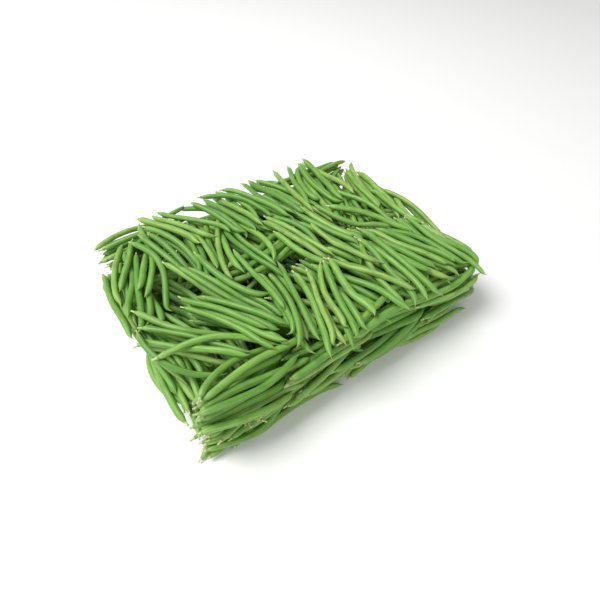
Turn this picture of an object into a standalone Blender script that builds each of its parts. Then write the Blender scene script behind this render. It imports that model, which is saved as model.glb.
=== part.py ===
"""Green bean bundle: several hundred fine green beans lying together in crossed handfuls.

Metres, +Z up. The bundle lies on the plane Z = 0 with its long way along X, and the origin is
under its middle. Handfuls are laid one after another: each pod is tried in a number of places
and kept where it comes to rest lowest. Of the pods that are laid, the ones that show most are
modelled, each sunk into a smaller core that stands for the pods behind them.
"""
import math
from collections import namedtuple

import bmesh
import bpy
import numpy as np
from mathutils import Matrix

# Driving dimensions of the bundle, between the centre lines of its outermost pods.
BUNDLE_LENGTH = 0.350
BUNDLE_WIDTH = 0.262
BUNDLE_HEIGHT = 0.078
CORNER_RADIUS = 0.035
SIDE_SLOPE = 0.10
END_FALL = 0.20
SIDE_FALL = 0.20
RIGHT_FALL = 0.20

# Driving dimensions of a pod.
POD_LENGTH = 0.100
POD_LENGTH_SPREAD = 0.009
POD_LENGTH_LIMITS = (0.072, 0.120)
POD_THICKNESS = 0.0060
POD_THICKNESS_SPREAD = 0.0005
POD_THICKNESS_LIMITS = (0.0050, 0.0073)
BEND = 0.36
CROOKED = 2.2
CROOKED_SHARE = 0.12
WAVE = 0.09
NECK = 0.18
HOOK = 0.36

# The rule that lays the pods.
SEED = 9720
POD_POINTS = 22
TRIES = 96
SAG = 4.0
CELL = 0.0015
MARGIN = 0.020
FILL_DEPTH = 0.048
TOO_HIGH = 0.009
LAST_DIP = 0.022
HANDFUL_SPREAD = 5.0
HANDFUL_PITCH = 0.0048
STRAYS = 22
STRAY_REACH = (0.150, 0.090)
STRAY_TURN = 26
LEVEL_COST = 0.10
RIM = 0.100
HEADING_SPREAD = 9
FILL_FAN = 4
FILL_SPREAD = 4
FILL_WIDTH = 0.034
RIM_HEADING_SPREAD = 4
RIM_FAN = 3
RIM_WIDTH = 0.024
PATCH_ALONG = np.linspace(-0.045, 0.045, 13)
PATCH_ACROSS = np.linspace(-0.015, 0.015, 7)
PATCH_COLUMNS = np.linspace(0.016 - BUNDLE_LENGTH / 2, BUNDLE_LENGTH / 2 - 0.016, 15)
PATCH_ROWS = (-0.080, -0.045, -0.015, 0.015, 0.045, 0.080)
CROSS_COLUMNS = np.linspace(-0.128, 0.128, 11)
CROSS_ROWS = (-0.118, -0.045, 0.0, 0.045, 0.118)

# What is modelled of them.
SPLIT_HEIGHT = 0.030
PART_GAP = 0.0006
CORE_INSET = 0.0090
CORE_DEPTH = 0.0050
CORE_PATCH = 0.0090
CORE_LEAST = 0.0040
CORE_FLOOR = 0.0050
SINK = 0.0014
RING_SHARES = (0.0, 0.09, 0.5, 0.90, 1.0)
SECTION = 1.18
TIP_FULLNESS = 0.3
PRESSED = 0.0007
VIEW_CELL = 0.006
VIEW_WEIGHTS = (1.7, 1.2, 1.0)
FLAT_ANGLE = math.radians(0.3)
UPPER_PODS = 164
LOWER_PODS = 164

# The handfuls laid last, on top: middle in mm along X and Y, heading in degrees, and pods.
TOP_HANDFULS = [
    (84, -42, 172, 6), (-158, -8, 104, 8), (-125, 5, 114, 8), (-90, -20, 80, 7),
    (-10, 8, 112, 8), (30, 12, 106, 7), (84, 8, 98, 6), (128, 0, 158, 7),
    (-163, 35, 80, 8), (-150, 72, 62, 9), (-118, 62, 98, 9), (12, 68, 96, 9),
    (66, 62, 94, 9), (42, 62, 104, 9), (128, 62, 148, 8), (160, 58, 78, 9),
    (-26, 60, 112, 10), (-82, 60, 80, 12), (98, 56, 68, 10),
    (-160, -62, 122, 10), (-140, -78, 150, 8), (-30, -92, 128, 8), (-98, -68, 110, 9),
    (125, -66, 108, 10), (0, -66, 118, 10), (32, -75, 100, 9), (150, -75, 98, 9),
    (62, -72, 110, 10), (92, -75, 114, 10), (-62, -68, 76, 11),
]

# Colours, as linear red, green and blue.
UPPER_GREEN = (0.20, 0.42, 0.07)
LOWER_GREEN = (0.15, 0.34, 0.06)

Pod = namedtuple("Pod", "plan height radius")


def clear_scene():
    for old in list(bpy.data.objects):
        bpy.data.objects.remove(old, do_unlink=True)


def pod_fullness(share):
    """Share of a pod's full thickness at a share of its length, from the stalk to the tip."""
    shoulder = np.clip((share - 0.03) / 0.08, 0, 1)
    tail = np.clip((0.98 - share) / 0.11, 0, 1)
    body = np.sin(shoulder * math.pi / 2) ** 0.8 * np.sin(tail * math.pi / 2) ** 0.8
    return np.maximum(body, 0.14)


def draw_pod(rng):
    """The centre line of one pod lying on its side, heading +X about its middle, and its radius."""
    length = np.clip(rng.normal(POD_LENGTH, POD_LENGTH_SPREAD), *POD_LENGTH_LIMITS)
    thickness = np.clip(rng.normal(POD_THICKNESS, POD_THICKNESS_SPREAD), *POD_THICKNESS_LIMITS)
    share = (np.arange(POD_POINTS) + 0.5) / POD_POINTS
    bend = rng.normal(0, BEND)
    if rng.random() < CROOKED_SHARE:
        bend *= CROOKED
    wave = rng.normal(0, WAVE) * np.sin(2 * math.pi * share)
    neck = rng.normal(0, NECK) * np.clip((0.2 - share) / 0.2, 0, 1)
    hook = rng.normal(0, HOOK) * np.clip((share - 0.75) / 0.25, 0, 1) ** 2
    heading = bend * (share - 0.5) + wave + neck + hook
    line = np.cumsum(np.column_stack([np.cos(heading), np.sin(heading)]), axis=0)
    line = (line - line.mean(0)) * length / POD_POINTS
    across, up = line[-1] - line[0]
    level = math.atan2(up, across)
    turned = turned_lines(line, np.array([-level]))[0]
    return turned, thickness / 2


def turned_lines(line, angles):
    """A line of points turned about its middle by each of several angles."""
    c = np.cos(angles)[:, None]
    s = np.sin(angles)[:, None]
    return np.stack([line[:, 0] * c - line[:, 1] * s, line[:, 0] * s + line[:, 1] * c], -1)


def wanted_height(x, y):
    """How high the bundle's top is meant to be: a low dome that falls off at its right end."""
    u = np.abs(x) / (BUNDLE_LENGTH / 2)
    v = np.abs(y) / (BUNDLE_WIDTH / 2)
    dome = (1 - END_FALL * u**4) * (1 - SIDE_FALL * v**4)
    right = 1 - RIGHT_FALL * np.clip(x / (BUNDLE_LENGTH / 2), 0, 1) ** 2
    return BUNDLE_HEIGHT * dome * right


class Ground:
    """The height of what is laid so far, on a grid of cells."""

    def __init__(self):
        size = np.array([BUNDLE_LENGTH, BUNDLE_WIDTH]) + 2 * MARGIN
        self.corner = size / 2
        self.heights = np.zeros((size / CELL).astype(int))

    def cells(self, plan):
        index = ((plan + self.corner) / CELL).astype(int)
        index = np.clip(index, 0, np.array(self.heights.shape) - 1)
        return index[..., 0], index[..., 1]

    def under(self, plan):
        return self.heights[self.cells(plan)]

    def cover(self, pod):
        """Raises the ground to the top of a pod."""
        steps = np.linspace(0, POD_POINTS - 1, 5 * POD_POINTS)
        every = np.arange(POD_POINTS)
        plan = np.column_stack([np.interp(steps, every, pod.plan[:, k]) for k in (0, 1)])
        height = np.interp(steps, every, pod.height)
        radius = pod.radius * pod_fullness((steps + 0.5) / POD_POINTS)
        side = sideways(plan)
        for k in np.linspace(-0.97, 0.97, 9):
            top = height + radius * math.sqrt(1 - k * k)
            np.maximum.at(self.heights, self.cells(plan + side * (radius * k)[:, None]), top)


def sideways(plan):
    """Unit vectors square to a centre line, or to each of several."""
    along = np.gradient(plan, axis=-2)
    side = np.stack([-along[..., 1], along[..., 0]], -1)
    return side / np.linalg.norm(side, axis=-1, keepdims=True)


def moved_inside(plans, height, slack):
    """Centre lines moved bodily so that each lies within the bundle's outline at its height."""
    half = np.array([BUNDLE_LENGTH, BUNDLE_WIDTH]) / 2 + slack - SIDE_SLOPE * height[:, None]
    every = np.arange(len(plans))
    for _ in range(2):
        over = np.maximum(plans.max(1) - half, 0) - np.maximum(-half - plans.min(1), 0)
        plans = plans - over[:, None]
        beyond = np.maximum(np.abs(plans) - (half - CORNER_RADIUS)[:, None], 0)
        reach = np.linalg.norm(beyond, axis=-1)
        worst = reach.argmax(1)
        excess = np.maximum(reach[every, worst] - CORNER_RADIUS, 0)
        inward = -np.sign(plans[every, worst]) * beyond[every, worst]
        inward /= np.maximum(reach[every, worst], 1e-9)[:, None]
        plans = plans + (inward * excess[:, None])[:, None]
    return plans


def lying_heights(ground, plans, distance, radius):
    """Heights of centre lines that come to rest on the ground, each held up like a taut bow."""
    side = sideways(plans)
    need = np.broadcast_to(radius, plans.shape[:2])
    for k in (-0.9, -0.5, 0.0, 0.5, 0.9):
        edge = ground.under(plans + side * (radius * k)[:, None])
        need = np.maximum(need, edge + radius * math.sqrt(1 - k * k))
    drop = SAG * (distance[:, None] - distance[None, :]) ** 2
    draped = (need[:, :, None] - drop).max(1)
    padded = np.pad(draped, ((0, 0), (2, 2)), mode="edge")
    soft = sum(w * padded[:, k:k + POD_POINTS] for k, w in enumerate((1, 2, 3, 2, 1))) / 9
    return soft + 0.8 * np.maximum(need - soft, 0).max(1, keepdims=True)


def lay_pod(rng, ground, middle, heading, spread, fan, width):
    """Lays one pod of a handful where it rests lowest, out of several places tried."""
    line, radius = draw_pod(rng)
    if rng.random() < 0.5:
        line = line * [1, -1]
    off = rng.uniform(-1, 1, TRIES)
    turn = heading + np.radians(rng.normal(0, spread, TRIES) + fan * off)
    along = rng.normal(0, 0.008, TRIES)
    forward = np.array([math.cos(heading), math.sin(heading)])
    left = np.array([-forward[1], forward[0]])
    places = middle + along[:, None] * forward + (off * width / 2)[:, None] * left
    plans = turned_lines(line, turn) + places[:, None]
    slack = rng.uniform(-0.004, 0.003)
    plans = moved_inside(plans, ground.under(plans).mean(1), slack)
    fullness = pod_fullness((np.arange(POD_POINTS) + 0.5) / POD_POINTS)
    heights = lying_heights(ground, plans, line[:, 0], radius * fullness)
    above = heights.mean(1) - wanted_height(*plans.mean(1).T)
    best = (above + LEVEL_COST * np.ptp(heights, axis=1)).argmin()
    if above[best] > TOO_HIGH:
        return []
    pod = Pod(plans[best], heights[best], radius)
    ground.cover(pod)
    return [pod]


def patches():
    """Where a handful may be laid: its middle, its usual heading, and points under it."""
    found = []
    for x in PATCH_COLUMNS:
        for y in PATCH_ROWS:
            points = np.stack(np.meshgrid(x + PATCH_ACROSS, y + PATCH_ALONG), -1)
            found.append((np.array([x, y]), 92, points))
    for x in CROSS_COLUMNS:
        for y in CROSS_ROWS:
            points = np.stack(np.meshgrid(x + PATCH_ALONG, y + PATCH_ACROSS), -1)
            found.append((np.array([x, y]), 2, points))
    return found


def fill_height(x, y):
    """How high the first handfuls reach: short of the top by what the last ones will add there."""
    u = np.abs(x) / (BUNDLE_LENGTH / 2)
    v = np.abs(y) / (BUNDLE_WIDTH / 2)
    covered = np.clip((1.0 - v) / 0.30, 0.30, 1) * np.clip((1.02 - u) / 0.12, 0.5, 1)
    return wanted_height(x, y) - FILL_DEPTH * covered


def level_up(rng, ground, goal):
    """Lays small handfuls, each where the ground is furthest below its goal, until none is."""
    pods = []
    places = patches()
    while True:
        short = [(ground.under(u) - goal(u[..., 0], u[..., 1])).mean() for _, _, u in places]
        short = np.array(short)
        lowest = (short + rng.uniform(0, 0.004, len(places))).argmin()
        if short[lowest] > 0:
            return pods
        middle, usual, _ = places[lowest]
        at_rim = abs(middle[1]) > RIM
        heading = math.radians(rng.normal(usual, RIM_HEADING_SPREAD if at_rim else HEADING_SPREAD))
        fan = rng.normal(0, RIM_FAN if at_rim else FILL_FAN)
        width = RIM_WIDTH if at_rim else FILL_WIDTH
        for _ in range(rng.integers(4, 8)):
            pods += lay_pod(rng, ground, middle, heading, FILL_SPREAD, fan, width)


def lay_bundle():
    """All the pods of the bundle, in the order in which they are laid, and the ground they make."""
    rng = np.random.default_rng(SEED)
    ground = Ground()
    pods = level_up(rng, ground, fill_height)
    for x, y, heading, many in TOP_HANDFULS:
        fan = rng.normal(0, 6)
        middle = np.array([x, y]) / 1000
        for _ in range(many + 1):
            turn = math.radians(heading + 180)
            pods += lay_pod(rng, ground, middle, turn, HANDFUL_SPREAD, fan, HANDFUL_PITCH * many)
    pods += level_up(rng, ground, lambda x, y: wanted_height(x, y) - LAST_DIP)
    for _ in range(STRAYS):
        middle = rng.uniform(-1, 1, 2) * STRAY_REACH
        turn = math.radians(rng.normal(270, STRAY_TURN))
        pods += lay_pod(rng, ground, middle, turn, 12, 0, 0.03)
    return pods, ground


def times_seen(pods):
    """How much of each pod shows from above, from below and from the four sides."""
    points = np.concatenate([np.column_stack([pod.plan, pod.height]) for pod in pods])
    owner = np.repeat(np.arange(len(pods)), POD_POINTS)
    seen = np.zeros(len(pods))
    for axis in range(3):
        column, row = np.round(np.delete(points, axis, axis=1) / VIEW_CELL).astype(int).T
        for side in (1, -1):
            nearest_last = np.argsort(points[:, axis] * side)
            front = dict(zip(column[nearest_last] * 1000 + row[nearest_last], owner[nearest_last]))
            seen += VIEW_WEIGHTS[axis] * np.bincount(list(front.values()), minlength=len(pods))
    return seen


def core_outline(x, y):
    """A point of a square from -1 to 1 moved into the core's outline, which has round corners."""
    half = np.array([BUNDLE_LENGTH, BUNDLE_WIDTH]) / 2 - CORE_INSET
    point = np.array([x, y]) * half
    beyond = np.maximum(np.abs(point) - (half - CORNER_RADIUS), 0)
    reach = np.hypot(*beyond)
    if reach > CORNER_RADIUS:
        point -= np.sign(point) * beyond * (1 - CORNER_RADIUS / reach)
    return point


def core_ground(ground):
    """The upper core's top as a ground: the bundle's own, evened out and a little lower."""
    core = Ground()
    cells = round(CORE_PATCH / CELL)
    rows = sum(np.roll(ground.heights, k, axis=0) for k in range(-cells, cells + 1))
    evened = sum(np.roll(rows, k, axis=1) for k in range(-cells, cells + 1)) / (2 * cells + 1) ** 2
    core.heights = np.maximum(evened - CORE_DEPTH, SPLIT_HEIGHT + CORE_LEAST)
    return core


def mesh_object(name, mesh_maker, collection):
    """An object whose mesh is what a function makes of an empty bmesh."""
    mesh = bpy.data.meshes.new(name)
    bm = bmesh.new()
    mesh_maker(bm)
    bm.to_mesh(mesh)
    bm.free()
    made = bpy.data.objects.new(name, mesh)
    collection.objects.link(made)
    return made


def lower_core(bm):
    """A flat block with round corners, from just above the surface to the split."""
    size = (BUNDLE_LENGTH - 2 * CORE_INSET, BUNDLE_WIDTH - 2 * CORE_INSET)
    height = SPLIT_HEIGHT - PART_GAP / 2 - CORE_FLOOR
    bmesh.ops.create_cube(bm, size=1)
    bmesh.ops.scale(bm, vec=(*size, height), verts=bm.verts)
    bmesh.ops.translate(bm, vec=(0, 0, CORE_FLOOR + height / 2), verts=bm.verts)
    upright = [e for e in bm.edges if abs(e.verts[0].co.z - e.verts[1].co.z) > height / 2]
    bmesh.ops.bevel(bm, geom=upright, offset=CORNER_RADIUS, segments=4, profile=0.5, affect="EDGES")


def upper_core(core):
    """Returns the maker of a slab from the split to the uneven top that the core's ground gives."""
    def make(bm):
        bmesh.ops.create_grid(bm, x_segments=22, y_segments=16, size=1)
        for vert in bm.verts:
            x, y = core_outline(vert.co.x, vert.co.y)
            top = float(core.under(np.array([x, y])))
            lean = 1 - SIDE_SLOPE * top / (BUNDLE_WIDTH / 2)
            vert.co = (x * lean, y * lean, top)
        below = bmesh.ops.extrude_face_region(bm, geom=list(bm.faces))["geom"]
        for vert in (g for g in below if isinstance(g, bmesh.types.BMVert)):
            vert.co.z = SPLIT_HEIGHT + PART_GAP / 2
        bmesh.ops.recalc_face_normals(bm, faces=bm.faces)
    return make


def pod_object(pod, collection):
    """A pod as a tapered, bent tube of four sides, a flat one down, pressed a little at the bottom."""
    curve = bpy.data.curves.new("pod", "CURVE")
    curve.dimensions = "3D"
    curve.bevel_depth = 1.0
    curve.bevel_resolution = 0
    curve.use_fill_caps = True
    curve.twist_mode = "Z_UP"
    spline = curve.splines.new("POLY")
    spline.points.add(len(RING_SHARES) - 1)
    own_share = (np.arange(POD_POINTS) + 0.5) / POD_POINTS
    for point, share in zip(spline.points, RING_SHARES):
        x, y, z = (np.interp(share, own_share, line) for line in (*pod.plan.T, pod.height))
        point.co = (x, y, z, 1)
        point.radius = pod.radius * SECTION * max(float(pod_fullness(share)), TIP_FULLNESS)
        point.tilt = math.radians(45)
    guide = bpy.data.objects.new("pod_guide", curve)
    collection.objects.link(guide)
    evaluated = guide.evaluated_get(bpy.context.evaluated_depsgraph_get())
    mesh = bpy.data.meshes.new_from_object(evaluated)
    bpy.data.objects.remove(guide)
    bm = bmesh.new()
    bm.from_mesh(mesh)
    bmesh.ops.remove_doubles(bm, verts=bm.verts, dist=0.00001)
    for vert in bm.verts:
        vert.co.z = max(vert.co.z, PRESSED)
    bm.to_mesh(mesh)
    bm.free()
    made = bpy.data.objects.new("pod", mesh)
    collection.objects.link(made)
    return made


def shown_pods(pods):
    """The pods modelled above the split and below it, as laid: of each, those that show most."""
    shown = ([], [])
    limits = (UPPER_PODS, LOWER_PODS)
    for k in np.argsort(-times_seen(pods), kind="stable"):
        half = int(pods[k].height.mean() < SPLIT_HEIGHT)
        if len(shown[half]) < limits[half]:
            shown[half].append(k)
    return [[pods[k] for k in sorted(half)] for half in shown]


def settled(pods, core):
    """Pods let down, in their own places, until each is sunk a little into what holds it up."""
    surface = Ground()
    surface.heights = core.heights.copy()
    fullness = pod_fullness((np.arange(POD_POINTS) + 0.5) / POD_POINTS)
    found = []
    for pod in pods:
        step = np.linalg.norm(np.diff(pod.plan, axis=0), axis=1)
        distance = np.concatenate([[0], np.cumsum(step)])
        lying = lying_heights(surface, pod.plan[None], distance, pod.radius * fullness)[0]
        height = np.minimum(lying, pod.height) - SINK
        height = np.maximum(height, SPLIT_HEIGHT + PART_GAP / 2 + pod.radius)
        found.append(pod._replace(height=height))
        surface.cover(found[-1])
    return found


def bent_below(pod):
    """A pod bent where it would cross the split."""
    return pod._replace(height=np.minimum(pod.height, SPLIT_HEIGHT - PART_GAP / 2 - pod.radius))


def keep_largest_body(mesh):
    """Drops every loose scrap of a mesh."""
    bm = bmesh.new()
    bm.from_mesh(mesh)
    unseen = set(bm.verts)
    bodies = []
    while unseen:
        body = [unseen.pop()]
        for vert in body:
            for edge in vert.link_edges:
                other = edge.other_vert(vert)
                if other in unseen:
                    unseen.remove(other)
                    body.append(other)
        bodies.append(body)
    bodies.sort(key=len)
    for body in bodies[:-1]:
        bmesh.ops.delete(bm, geom=body, context="VERTS")
    bmesh.ops.dissolve_limit(bm, angle_limit=FLAT_ANGLE, verts=bm.verts, edges=bm.edges)
    bmesh.ops.triangulate(bm, faces=bm.faces)
    print(mesh.name, "scraps dropped", len(bodies) - 1, "triangles kept", len(bm.faces))
    bm.to_mesh(mesh)
    bm.free()


def green_material(name, colour):
    material = bpy.data.materials.new(name)
    material.use_nodes = True
    surface = material.node_tree.nodes["Principled BSDF"]
    surface.inputs["Base Color"].default_value = (*colour, 1)
    surface.inputs["Roughness"].default_value = 0.45
    surface.inputs["Metallic"].default_value = 0.0
    return material


def joined(name, core_maker, pods, colour, offset, bundle):
    """One closed body: a core and the pods that stand out of it."""
    pieces = bpy.data.collections.new(name + "_pods")
    bpy.context.scene.collection.children.link(pieces)
    for pod in pods:
        pod_object(pod, pieces)
    core = mesh_object(name + "_core", core_maker, bundle)
    union = core.modifiers.new("pods", "BOOLEAN")
    union.operation = "UNION"
    union.operand_type = "COLLECTION"
    union.collection = pieces
    union.solver = "MANIFOLD"
    evaluated = core.evaluated_get(bpy.context.evaluated_depsgraph_get())
    mesh = bpy.data.meshes.new_from_object(evaluated)
    mesh.name = name
    bpy.data.objects.remove(core)
    for piece in list(pieces.objects):
        bpy.data.objects.remove(piece)
    keep_largest_body(mesh)
    mesh.transform(Matrix.Translation(offset))
    mesh.materials.clear()
    mesh.materials.append(green_material(name, colour))
    made = bpy.data.objects.new(name, mesh)
    bundle.objects.link(made)
    return made


def main():
    clear_scene()
    bundle = bpy.data.collections.new("green_bean_bundle")
    bpy.context.scene.collection.children.link(bundle)
    pods, ground = lay_bundle()
    upper, lower = shown_pods(pods)
    print("pods laid", len(pods), "modelled", len(upper), "and", len(lower))
    low = np.min([pod.plan.min(0) - pod.radius for pod in pods], axis=0)
    high = np.max([pod.plan.max(0) + pod.radius for pod in pods], axis=0)
    middle = (low + high) / 2
    offset = (-middle[0], -middle[1], -PRESSED)
    core = core_ground(ground)
    joined("upper_beans", upper_core(core), settled(upper, core), UPPER_GREEN, offset, bundle)
    joined("lower_beans", lower_core, map(bent_below, lower), LOWER_GREEN, offset, bundle)


main()
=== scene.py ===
# %% [markdown]
# # A bundle of fine green beans
#
# Several hundred fine green beans lie together in crossed handfuls. This lesson lays them by a
# rule, gives each one its real shape, from the stump of its stalk to its curled tail, and then
# gives them the satin green skin of a fresh pod. A rule suits them better than placing them by
# hand: there are too many to place, and what makes a heap look right is that each pod rests on
# the ones below it.

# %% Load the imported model
import math
from collections import namedtuple

import bpy
import numpy as np
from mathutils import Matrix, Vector


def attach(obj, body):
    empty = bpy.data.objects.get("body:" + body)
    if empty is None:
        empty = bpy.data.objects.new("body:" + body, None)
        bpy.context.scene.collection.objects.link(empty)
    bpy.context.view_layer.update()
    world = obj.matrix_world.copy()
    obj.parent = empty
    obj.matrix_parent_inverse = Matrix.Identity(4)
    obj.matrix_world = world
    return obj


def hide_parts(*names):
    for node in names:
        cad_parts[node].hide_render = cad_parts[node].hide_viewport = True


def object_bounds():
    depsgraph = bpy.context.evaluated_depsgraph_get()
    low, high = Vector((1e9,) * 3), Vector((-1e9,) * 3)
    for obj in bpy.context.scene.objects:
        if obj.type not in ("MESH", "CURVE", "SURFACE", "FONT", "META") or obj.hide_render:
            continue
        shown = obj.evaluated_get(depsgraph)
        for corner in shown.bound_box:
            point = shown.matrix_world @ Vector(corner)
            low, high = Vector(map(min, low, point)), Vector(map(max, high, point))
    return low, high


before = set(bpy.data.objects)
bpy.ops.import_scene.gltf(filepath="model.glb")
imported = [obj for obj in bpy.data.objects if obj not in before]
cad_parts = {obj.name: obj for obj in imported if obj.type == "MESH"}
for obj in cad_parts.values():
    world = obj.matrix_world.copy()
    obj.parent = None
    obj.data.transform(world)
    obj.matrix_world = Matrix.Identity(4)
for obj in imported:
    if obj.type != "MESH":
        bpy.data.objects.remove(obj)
cad_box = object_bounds()
print("solids", sorted(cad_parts), "box", cad_box)

# %% [markdown]
# ## The size of the bundle
#
# All sizes are in metres. The bundle is a low block with round corners, 350 mm along X and
# 262 mm along Y between the middles of its outermost pods. Its sides lean in slightly, and its
# top is a low dome. Sizes that the whole script depends on are named once, here at its start, so
# that each can be corrected in one place. The seed makes every run draw the same random numbers.

# %% Sizes of the bundle
BUNDLE_LENGTH = 0.350
BUNDLE_WIDTH = 0.262
BUNDLE_HEIGHT = 0.078
HALF_LENGTH = BUNDLE_LENGTH / 2
HALF_WIDTH = BUNDLE_WIDTH / 2
CORNER_RADIUS = 0.035
SIDE_SLOPE = 0.10
SEED = 9720
print("bundle", BUNDLE_LENGTH, "by", BUNDLE_WIDTH, "by", BUNDLE_HEIGHT)

# %% [markdown]
# ## The size of a pod
#
# Fine beans are a little thinner than a pencil and a little longer than a finger. No two are
# alike, so a length and a thickness are drawn for each pod, about a usual value and within
# limits. Its centre line is kept as 22 points, few enough to lay hundreds of pods quickly.

# %% Sizes of a pod
POD_LENGTH = 0.100
POD_LENGTH_SPREAD = 0.009
POD_LENGTH_LIMITS = (0.072, 0.120)
POD_THICKNESS = 0.0060
POD_THICKNESS_SPREAD = 0.0005
POD_THICKNESS_LIMITS = (0.0050, 0.0073)
POD_POINTS = 22
POD_SHARES = (np.arange(POD_POINTS) + 0.5) / POD_POINTS

Pod = namedtuple("Pod", "plan height radius")
print("a pod is about", POD_LENGTH, "long and", POD_THICKNESS, "thick")

# %% [markdown]
# ## One pod's centre line
#
# A real pod is never quite straight. It bends one way along its whole length, wavers a little,
# turns at its neck, and hooks at its tail. A few are crooked. A centre line can be drawn by
# walking along it in small steps while the heading turns by those rules. That is shorter than
# placing curve points, and each pod comes out different from a few random numbers.

# %% Draw the centre line of a pod
BEND = 0.36
CROOKED_SHARE = 0.12
CROOKED = 2.2
WAVE = 0.09
NECK = 0.18
NECK_END = 0.2
HOOK = 0.36
HOOK_START = 0.75


def turned_lines(line, angles):
    """A line of points turned about its middle by each of several angles."""
    c = np.cos(angles)[:, None]
    s = np.sin(angles)[:, None]
    return np.stack([line[:, 0] * c - line[:, 1] * s, line[:, 0] * s + line[:, 1] * c], -1)


def draw_pod(rng):
    """The centre line of one pod lying on its side, heading +X about its middle, and its radius."""
    length = np.clip(rng.normal(POD_LENGTH, POD_LENGTH_SPREAD), *POD_LENGTH_LIMITS)
    thickness = np.clip(rng.normal(POD_THICKNESS, POD_THICKNESS_SPREAD), *POD_THICKNESS_LIMITS)
    bend = rng.normal(0, BEND)
    if rng.random() < CROOKED_SHARE:
        bend *= CROOKED
    wave = rng.normal(0, WAVE) * np.sin(2 * math.pi * POD_SHARES)
    neck = rng.normal(0, NECK) * np.clip((NECK_END - POD_SHARES) / NECK_END, 0, 1)
    hook = rng.normal(0, HOOK) * np.clip((POD_SHARES - HOOK_START) / (1 - HOOK_START), 0, 1) ** 2
    heading = bend * (POD_SHARES - 0.5) + wave + neck + hook
    line = np.cumsum(np.column_stack([np.cos(heading), np.sin(heading)]), axis=0)
    line = (line - line.mean(0)) * length / POD_POINTS
    across, up = line[-1] - line[0]
    level = math.atan2(up, across)
    turned = turned_lines(line, np.array([-level]))[0]
    return turned, thickness / 2


sample_line, sample_radius = draw_pod(np.random.default_rng(SEED))
print("a pod reaches", np.ptp(sample_line, axis=0).round(4), "with radius", round(sample_radius, 4))

# %% [markdown]
# ## How full a pod is
#
# While pods are laid, only their bulk counts: a thin stalk end, a full body and a thin tail. Two
# rounded ramps, one at each end, are enough for that. The real outline, with its stump and its
# seeds, comes later, when the skins are made.

# %% The fullness along a pod
SHOULDER_START = 0.03
SHOULDER_SPAN = 0.08
TAIL_END = 0.98
TAIL_SPAN = 0.11
END_ROUNDNESS = 0.8
LEAST_FULLNESS = 0.14


def pod_fullness(share):
    """Share of a pod's full thickness at a share of its length, from the stalk to the tip."""
    shoulder = np.clip((share - SHOULDER_START) / SHOULDER_SPAN, 0, 1)
    tail = np.clip((TAIL_END - share) / TAIL_SPAN, 0, 1)
    rise = np.sin(shoulder * math.pi / 2) ** END_ROUNDNESS
    fall = np.sin(tail * math.pi / 2) ** END_ROUNDNESS
    return np.maximum(rise * fall, LEAST_FULLNESS)


print("fullness from stalk to tail", pod_fullness(POD_SHARES).round(2))

# %% [markdown]
# ## How high the bundle should be
#
# The top of the real bundle isn't flat: it is a low dome that falls off at its edges and a
# little more at its right end. A formula for the wanted height lets the rule see at any moment
# where pods are still missing. The first handfuls stop short of it, because the last ones, whose
# places were read from the photograph, lie on top of them. Near the edges they stop less short.

# %% The wanted height
END_FALL = 0.20
SIDE_FALL = 0.20
RIGHT_FALL = 0.20


def wanted_height(x, y):
    """How high the bundle's top is meant to be: a low dome that falls off at its right end."""
    u = np.abs(x) / HALF_LENGTH
    v = np.abs(y) / HALF_WIDTH
    dome = (1 - END_FALL * u**4) * (1 - SIDE_FALL * v**4)
    right = 1 - RIGHT_FALL * np.clip(x / HALF_LENGTH, 0, 1) ** 2
    return BUNDLE_HEIGHT * dome * right


print("wanted height at the middle and at a corner",
      wanted_height(0, 0), round(float(wanted_height(0.16, 0.12)), 4))

# %% The height for the first handfuls
FILL_DEPTH = 0.048
SIDE_FADE = 0.30
SIDE_LEAST = 0.30
END_EDGE = 1.02
END_FADE = 0.12
END_LEAST = 0.5


def fill_height(x, y):
    """How high the first handfuls reach: short of the top by what the last ones will add there."""
    u = np.abs(x) / HALF_LENGTH
    v = np.abs(y) / HALF_WIDTH
    from_sides = np.clip((1.0 - v) / SIDE_FADE, SIDE_LEAST, 1)
    from_ends = np.clip((END_EDGE - u) / END_FADE, END_LEAST, 1)
    return wanted_height(x, y) - FILL_DEPTH * (from_sides * from_ends)


print("the first handfuls reach", round(float(fill_height(0, 0)), 4), "at the middle")

# %% [markdown]
# ## The ground
#
# A full physics simulation of this many bent pods would take far too long. A height map does
# nearly as well: it keeps the height of what is laid so far in cells of 1.5 mm, a new pod is
# rested on it, and then the pod's own back is added to it.

# %% The ground that pods are laid on
CELL = 0.0015
MARGIN = 0.020
COVER_STEPS = 5 * POD_POINTS
COVER_STRIPS = np.linspace(-0.97, 0.97, 9)


def sideways(plan):
    """Unit vectors square to a centre line, or to each of several."""
    along = np.gradient(plan, axis=-2)
    side = np.stack([-along[..., 1], along[..., 0]], -1)
    return side / np.linalg.norm(side, axis=-1, keepdims=True)


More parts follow.
